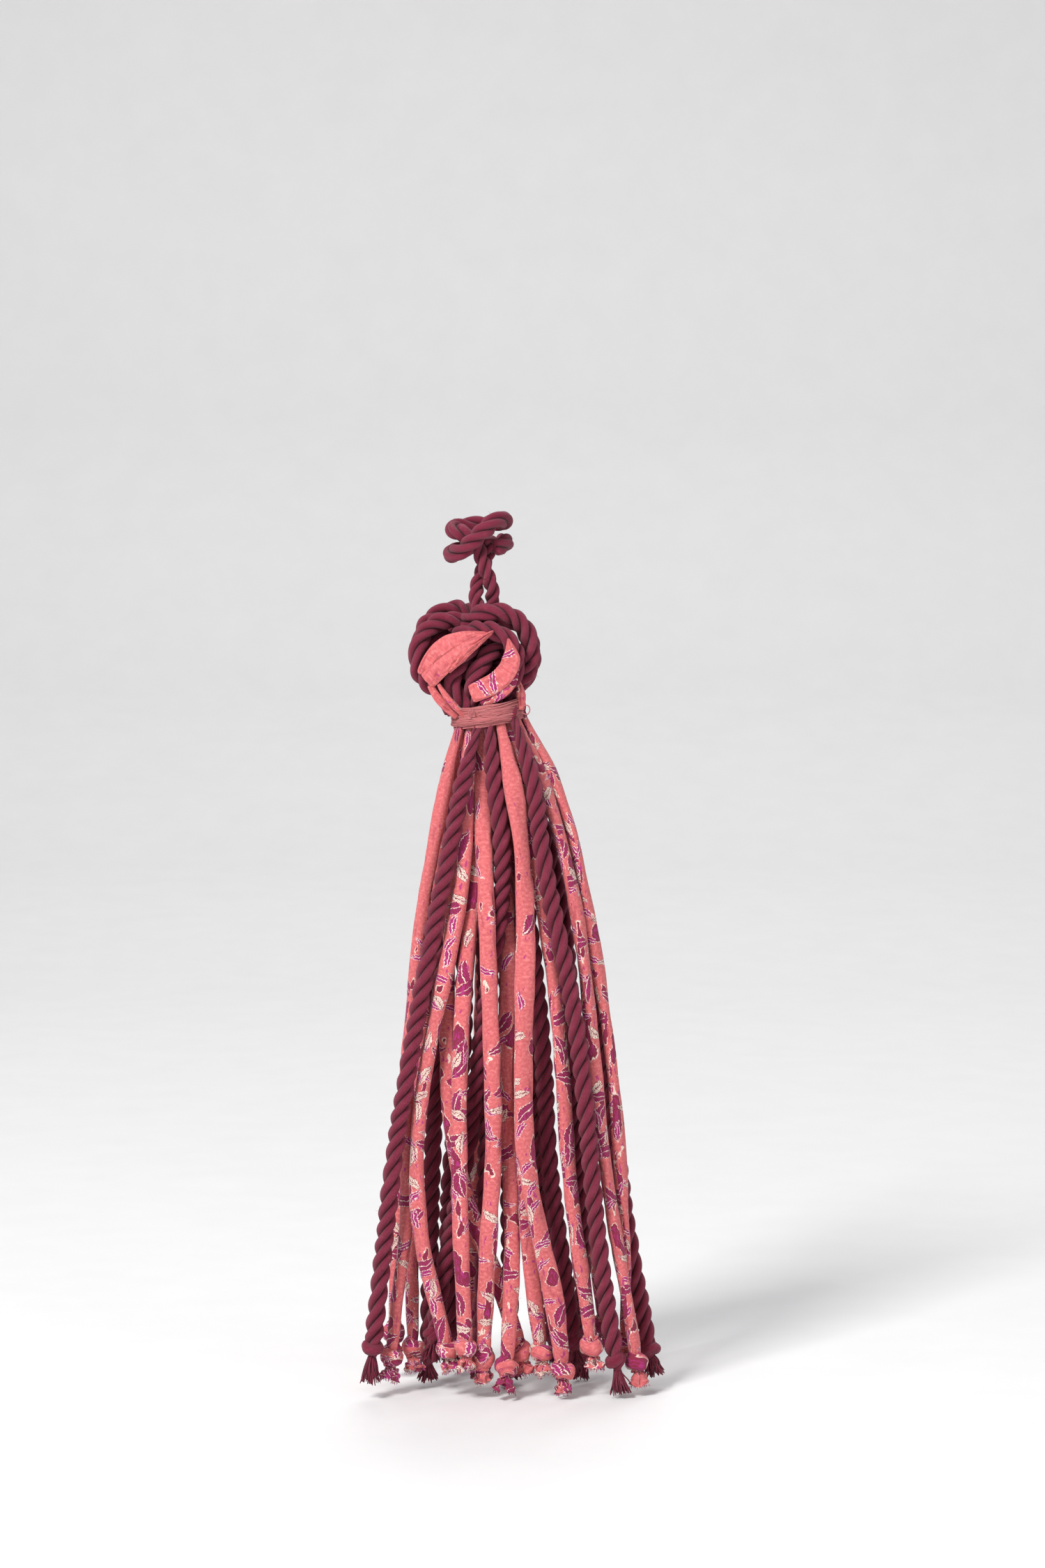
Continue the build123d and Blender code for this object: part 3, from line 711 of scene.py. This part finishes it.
def binding():
    """Tight turns of thread, with looser ones that cross them at random slants, and two small loops of thread.
    """
    rng = np.random.default_rng(60)
    skin = Skin()
    angle = np.linspace(0, 2 * math.pi, 97)
    thread, tight, crossing = .00021, 30, 62
    for turn in range(tight + crossing):
        if turn < tight:
            height = (turn / (tight - 1) - .5) * (BINDING_HEIGHT - .0004)
            out, tilt = -.0008, 0.0
        else:
            height = rng.uniform(-.5, .5) * (BINDING_HEIGHT - .0030)
            out, tilt = rng.uniform(-.0006, .0001), rng.normal(0, .0011)
        around = angle + rng.uniform(0, 6)
        lean = np.clip(tilt, -.0022, .0022) * np.cos(around + rng.uniform(-.5, .5))
        rise = np.clip(height + lean, -.0034, .0034) + wander(rng, angle, .00018, 2.2)
        share = 2 * rise / BINDING_HEIGHT
        waist = -.0007 * (1 - share ** 2) * .5 - .0004 * share ** 4
        line = binding_place(around, out + waist + wander(rng, angle, .00010, 1.5), rise)
        skin.tube(line, carried(line, (0, 0, 1)), *round_section(len(line), thread, 5),
                  shade=rng.uniform(.1, .8))
    loops = [[(.0138, -.0120, -.0545), (.0160, -.0132, -.0535), (.0170, -.0134, -.0555),
              (.0158, -.0130, -.0575), (.0142, -.0118, -.0565)],
             [(-.0030, -.0182, -.0575), (-.0036, -.0192, -.0552), (-.0018, -.0194, -.0545),
              (-.0012, -.0184, -.0570)]]
    for loop in loops:
        line, _ = nurbs_line(loop, .0004)
        skin.tube(line, carried(line, (0, 0, 1)), *round_section(len(line), thread, 5), shade=.3)
    return skin.mesh("binding_threads", thread_yarn, "thread")


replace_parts(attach(binding(), "head"), "thread_binding")


def strand_top(x, y):
    return x, y, BINDING_CENTRE[2] + BINDING_RISE * (x - BINDING_CENTRE[0]) - TOP_DROP


def bundle():
    """The strands squeezed side by side inside the binding."""
    rng = np.random.default_rng(70)
    skin = Skin()
    for waypoints in [s[0] for s in ROPE_STRANDS] + [s[0] for s in FABRIC_STRANDS]:
        x, y, z = strand_top(*waypoints[0])
        inward = Vector((BINDING_CENTRE[0] - x, BINDING_CENTRE[1] - y, 0)) * .16
        foot = Vector((x, y, z + .0024)) + inward
        route = [foot, foot + Vector((0, 0, .0030)), foot + Vector((0, 0, .0060)) + inward * .5]
        line, along = nurbs_line(route, .0005)
        radius = .0020 * np.interp(along / along[-1], [0, .7, 1], [1, 1, .45])
        skin.tube(line, carried(line), *rope_section(along, radius, .013, rng.uniform(0, 6), corners=24))
    return skin.mesh("bundle_in_binding", core_yarn, "bundle")


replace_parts(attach(bundle(), "head"), "bound_bundle")


# ---------------------------------------------------------------- skirt

def strand_route(waypoints, knot):
    """From inside the binding, through the strand's top and the waypoints, to the knot."""
    top = Vector(strand_top(*waypoints[0]))
    places = [Vector((x, y, z)) for (x, y), z in zip(waypoints[1:], STRAND_HEIGHTS)]
    hidden = top - (places[0] - top).normalized() * .0030
    return top, [hidden, top, *places, Vector(knot)]


def body_of_strand(kind, number):
    return f"{kind}_free_{number:02d}" if number in FREE[kind] else "head"


# One overhand turn about the knot's centre, the strand coming from above and leaving below
KNOT_TURN = [(0, 0, .0036), (.0009, .0006, .0024), (.0023, .0002, .0010), (.0017, -.0020, -.0002),
             (-.0008, -.0025, -.0009), (-.0025, -.0006, -.0006), (-.0019, .0018, .0004),
             (.0004, .0024, .0006), (.0017, .0009, -.0006), (.0006, -.0002, -.0022), (0, 0, -.0034)]


def knot_route(centre, down, spin, size):
    """The overhand turn, spun about the strand's direction and set at the knot's place."""
    tilt = Vector((0, 0, -1)).rotation_difference(down).to_matrix()
    turn = np.array(KNOT_TURN) * size
    spun = np.stack([turn[:, 0] * math.cos(spin) - turn[:, 1] * math.sin(spin),
                     turn[:, 0] * math.sin(spin) + turn[:, 1] * math.cos(spin), turn[:, 2]], axis=1)
    return spun @ np.array(tilt).T + np.array(centre)


def yarn_brush(skin, rng, start, down, spread, length, count):
    """Loose yarns below a knot, splayed and a little bent."""
    across = down.orthogonal()
    side, front = np.array(across.normalized()), np.array(down.cross(across).normalized())
    down = np.array(down)
    for _ in range(count):
        angle, share = rng.uniform(0, 2 * math.pi), math.sqrt(rng.uniform(0, 1))
        outward = side * math.cos(angle) + front * math.sin(angle)
        reach = length * rng.uniform(.72, 1.0)
        t = np.linspace(0, 1, 8)[:, None]
        flare = spread * share * (.35 * t + .65 * t ** 1.6)
        kink = side * rng.normal(0, .00035) + front * rng.normal(0, .00035)
        kink = kink * np.sin(t * math.pi * rng.uniform(.8, 1.8))
        line = np.array(start) + outward * (.0011 * share + flare) + down * reach * t + kink
        radius = .00023 * np.array([1, 1, 1, 1, 1, 1, .95, .7])
        skin.tube(line, carried(line, tuple(outward)), *round_section(8, radius, 5),
                  shade=rng.uniform(.2, .9))


def squeezed_top(along, body):
    """How thin a strand is where it comes out of the binding. One that lifts stays thin for longer, so
    that it clears its neighbours."""
    if body == "head":
        return np.interp(along, [0, .003, .015], [.55, .61, 1])
    return np.interp(along, [0, .004, .010, .020], [.48, .52, .72, 1])


def bound_at_top(pieces, body):
    """Pieces of a strand on the head go onto the head's body; those of a strand that lifts are baked where they
    lie, so its top stays in the binding.
    """
    for piece in pieces:
        if body == "head":
            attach(piece, body)
        else:
            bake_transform(piece)


def rope_strand(number, waypoints, knot, loose):
    rng = np.random.default_rng(100 + number)
    name, body = f"rope_strand_{number:02d}", body_of_strand("rope", number)
    top, route = strand_route(waypoints, knot)
    line, along = nurbs_line(route, .00055)
    left = along[-1] - along
    radius = ROPE_RADIUS * squeezed_top(along, body)
    radius = radius * np.interp(left, [0, .004], [.7, 1]) * (1 + wander(rng, along, .03, .03))
    skin = Skin()
    lay = along + wander(rng, along, .0010, .05)
    section = rope_section(lay, radius, ROPE_PITCH, rng.uniform(0, 6))
    skin.tube(line, carried(line), *section)
    laid = skin.mesh(f"{name}_laid", rope_yarn, "rope")
    skin = Skin()
    fuzz(skin, rng, line, carried(line), section[0], int(1500 * along[-1]))
    fibres = skin.mesh(f"{name}_fibres", rope_yarn, "rope")
    down = (Vector(knot) - route[-2]).normalized()

    skin = Skin()
    tie, along_tie = nurbs_line(knot_route(knot, down, rng.uniform(0, 6), .80), .0004)
    swell = .0019 * np.interp(along_tie / along_tie[-1], [0, .2, .5, .8, 1], [.9, 1, 1.12, 1, .9])
    section, weave, crest = rope_section(along_tie, swell, .045, rng.uniform(0, 6), depth=.5, corners=36)
    weave[..., 0] += along_tie[:, None] / MM * .5
    # Crest values raised so the knot's valleys take less painted shade.
    skin.tube(tie, carried(tie, (1, 0, 0)), section, weave, .45 + .55 * crest)
    tied = skin.mesh(f"{name}_knot", rope_yarn, "rope")

    skin = Skin()
    start = Vector(knot) + down * .0022
    yarn_brush(skin, rng, start, down, .0026, loose + .0012, 70)
    frayed = skin.mesh(f"{name}_fray", rope_yarn, "rope")
    bound_at_top((laid, fibres), body)
    for piece in (tied, frayed):
        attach(piece, body)
    for piece in (laid, fibres, tied, frayed):
        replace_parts(piece, name)


def fabric_strand(number, waypoints, knot):
    rng = np.random.default_rng(200 + number)
    name, body = f"fabric_strand_{number:02d}", body_of_strand("fabric", number)
    top, route = strand_route(waypoints, knot)
    line, along = nurbs_line(route, .0008)
    left = along[-1] - along
    swell = squeezed_top(along, body) * np.interp(left, [0, .005, .02], [.6, .9, 1])
    swell = swell * (1 + wander(rng, along, .05, .04))
    width, depth, seam = CLOTH_LOOKS[number]
    out = line - np.array((*SKIRT_AXIS, 0))
    out[:, 2] = 0
    axes = facing(line, out, wander(rng, along, .35, .09))
    skin = Skin()
    section = cloth_section(rng, along, width * swell, depth * swell, seam)
    cover = PRINT[number][0] + (PRINT[number][1] - PRINT[number][0]) * along / along[-1]
    skin.tube(line, axes, *section, shade=number / 15, cover=cover)
    rolled = skin.mesh(f"{name}_rolled", cotton, "cotton_tube")
    down = (Vector(knot) - route[-2]).normalized()

    skin = Skin()
    tie, along_tie = nurbs_line(knot_route(knot, down, rng.uniform(0, 6), .86), .00035)
    puff = 1 + wander(rng, along_tie, .10, .006)
    section = cloth_section(rng, along_tie, .0025 * puff, .0020 * puff, corners=40, creases=12)
    turning = facing(tie, tie - np.array(knot), wander(rng, along_tie, .3, .01))
    skin.tube(tie, turning, *section, shade=number / 15 + .03, cover=.04)
    tied = skin.mesh(f"{name}_knot", cotton, "cotton_tube")

    skin = Skin()
    ragged_end(skin, rng, Vector(knot) + down * .0024, down, number / 15 + .05)
    raw = skin.mesh(f"{name}_raw_end", cotton, "cotton_tube")
    bound_at_top((rolled,), body)
    for piece in (tied, raw):
        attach(piece, body)
    for piece in (rolled, tied, raw):
        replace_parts(piece, name)


def ragged_end(skin, rng, start, down, shade):
    """Cut cloth below a knot: folded leaves that flare and end in an uneven edge."""
    side = down.orthogonal().normalized()
    front = down.cross(side)
    for leaf in range(5):
        angle = leaf * 2 * math.pi / 5 + rng.uniform(-.4, .4)
        outward = side * math.cos(angle) + front * math.sin(angle)
        across = down.cross(outward)
        length, flare = rng.uniform(.0040, .0056), rng.uniform(.0006, .0020)
        route = [start + outward * .0004, start + outward * (.0010 + flare * .3) + down * length * .35,
                 start + outward * (.0012 + flare) + down * length * .7 + across * rng.uniform(-.0006, .0006),
                 start + outward * (.0010 + flare * 1.3) + down * length]
        line, along = nurbs_line(route, .0003)
        share = along / along[-1]
        half = .0012 + .0009 * share
        skin.tube(line, facing(line, tuple(outward), wander(rng, along, .4, .004)),
                  *cloth_section(rng, along, half, .00032, corners=24, creases=5), shade=shade, cover=.05)
        for _ in range(9):
            begin = line[-1] + np.array(across) * rng.uniform(-.9, .9) * half[-1]
            t = np.linspace(0, 1, 4)[:, None]
            way = np.array(down) + np.array(across) * rng.uniform(-.8, .8)
            way = way + np.array(outward) * rng.uniform(-.5, .6)
            thread = begin + way * t * rng.uniform(.0005, .0012)
            skin.tube(thread, carried(thread, tuple(across)), *round_section(4, .00009, 4),
                      shade=shade, cover=.3)


# Half width, half depth, and the place of a visible seam, for each fabric strand
CLOTH_LOOKS = {number: (.0027, .0020, None) for number in range(1, 16)}
CLOTH_LOOKS.update({
    1: (.0025, .0020, None), 2: (.0028, .0020, 1.35), 3: (.0033, .0019, None), 5: (.0028, .0019, 2.4),
    11: (.0028, .0018, 1.2), 13: (.0026, .0020, None)})
# How printed each fabric strand is at its top and at its end
PRINT = {number: (-.03, .03) for number in range(1, 16)}
PRINT.update({1: (-.10, .01), 2: (-.10, .03), 3: (-.14, .05), 9: (.01, .02), 10: (.02, .0), 7: (-.08, .03)})


for number, (waypoints, knot, loose) in enumerate(ROPE_STRANDS, 1):
    rope_strand(number, waypoints, knot, loose)
for number, (waypoints, knot) in enumerate(FABRIC_STRANDS, 1):
    fabric_strand(number, waypoints, knot)


# ---------------------------------------------------------------- studio

def studio():
    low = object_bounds()[0]
    floor_level = low[2] - .0004
    data = bpy.data.meshes.new("floor")
    rows = [(-2.2, 0), (1.0, 0), (1.35, .03), (1.62, .12), (1.80, .30), (1.86, .55), (1.86, 2.6)]
    places = [(x, y, floor_level + z) for y, z in rows for x in (-3.0, 3.0)]
    faces = [(2 * i, 2 * i + 1, 2 * i + 3, 2 * i + 2) for i in range(len(rows) - 1)]
    data.from_pydata(places, [], faces)
    data.polygons.foreach_set("use_smooth", np.ones(len(faces), bool))
    n = Nodes("pale_floor", roughness=.7, sheen=0)
    grain = n.noise(n.object_place(), 40, 3)
    colour = n.mix(grain, linear(232, 231, 230), linear(238, 237, 236))
    data.materials.append(n.finish(colour, grain, .0002, .1))
    floor = bpy.data.objects.new("floor", data)
    bpy.context.scene.collection.objects.link(floor)
    floor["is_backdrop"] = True

    target = Vector(VIEW_CENTRE)
    for title, place, size, power in LIGHTS:
        light = bpy.data.lights.new(title, "AREA")
        light.size, light.energy = size, power
        lamp = bpy.data.objects.new(title, light)
        bpy.context.scene.collection.objects.link(lamp)
        lamp.location = place
        lamp.rotation_euler = (target - Vector(place)).to_track_quat("-Z", "Y").to_euler()
    world = bpy.data.worlds.new("studio")
    world.use_nodes = True
    world.node_tree.nodes["Background"].inputs[0].default_value = (.93, .95, 1, 1)
    world.node_tree.nodes["Background"].inputs[1].default_value = WORLD_LIGHT
    bpy.context.scene.world = world

    lens = bpy.data.cameras.new("camera")
    lens.lens = FOCAL
    lens.clip_end = 20
    camera = bpy.data.objects.new("camera", lens)
    bpy.context.scene.collection.objects.link(camera)
    distance = VIEW_HEIGHT * FOCAL / lens.sensor_width
    raised = math.radians(VIEW_RAISED)
    camera.location = target + Vector((0, -math.cos(raised), math.sin(raised))) * distance
    camera.rotation_euler = (target - camera.location).to_track_quat("-Z", "Y").to_euler()
    bpy.context.scene.camera = camera


VIEW_CENTRE = (.0143, -.0065, -.0805)
VIEW_HEIGHT = .5175
VIEW_RAISED = 5.0
FOCAL = 110
# Each light: name, place, width in metres, watts
LIGHTS = [("key", (-.65, -1.05, .85), .40, 25), ("fill", (1.1, -1.0, .2), .9, 5),
          ("back", (.2, 1.1, 1.2), 1.0, 10)]
WORLD_LIGHT = .40
bpy.context.scene.view_settings.view_transform = "Standard"
studio()
